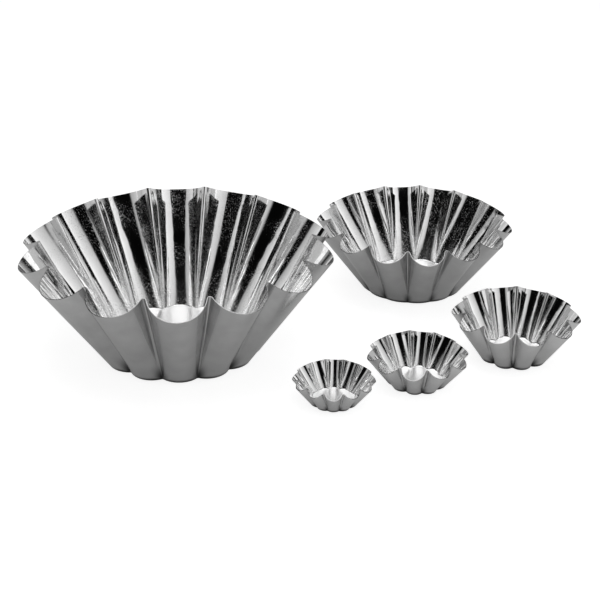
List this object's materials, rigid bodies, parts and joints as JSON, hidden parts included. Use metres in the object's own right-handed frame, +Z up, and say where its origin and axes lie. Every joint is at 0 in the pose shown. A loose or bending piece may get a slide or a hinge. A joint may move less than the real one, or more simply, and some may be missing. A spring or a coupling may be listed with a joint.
{
  "type": "brioche mould set",
  "caption": "Graduated fluted brioche moulds, each one pressed tinplate cup with a flat base and a flaring wall of round flutes parted by narrow inward folds.",
  "frame": {"origin": "centre of the largest mould's base, on the surface that the moulds stand on", "axes": "+Z up out of the moulds' mouths, +X towards the smaller moulds, -Y towards the front of the set"},
  "size_m": [0.4268, 0.3141, 0.0902],
  "materials": {
    "tinplate": "bright tin plate, mirror-like inside and satin outside"
  },
  "bodies": {
    "largest": {"largest_mould": "tinplate"},
    "large": {"large_mould": "tinplate"},
    "medium": {"medium_mould": "tinplate"},
    "small": {"small_mould": "tinplate"},
    "smallest": {"smallest_mould": "tinplate"}
  },
  "joints": [
    {"name": "lift_large", "type": "slide", "parent": "largest", "child": "large", "axis": [0, 0, 1], "range_m": [0, 0.15]},
    {"name": "lift_medium", "type": "slide", "parent": "largest", "child": "medium", "axis": [0, 0, 1], "range_m": [0, 0.15]},
    {"name": "lift_small", "type": "slide", "parent": "largest", "child": "small", "axis": [0, 0, 1], "range_m": [0, 0.15]},
    {"name": "lift_smallest", "type": "slide", "parent": "largest", "child": "smallest", "axis": [0, 0, 1], "range_m": [0, 0.05]}
  ]
}
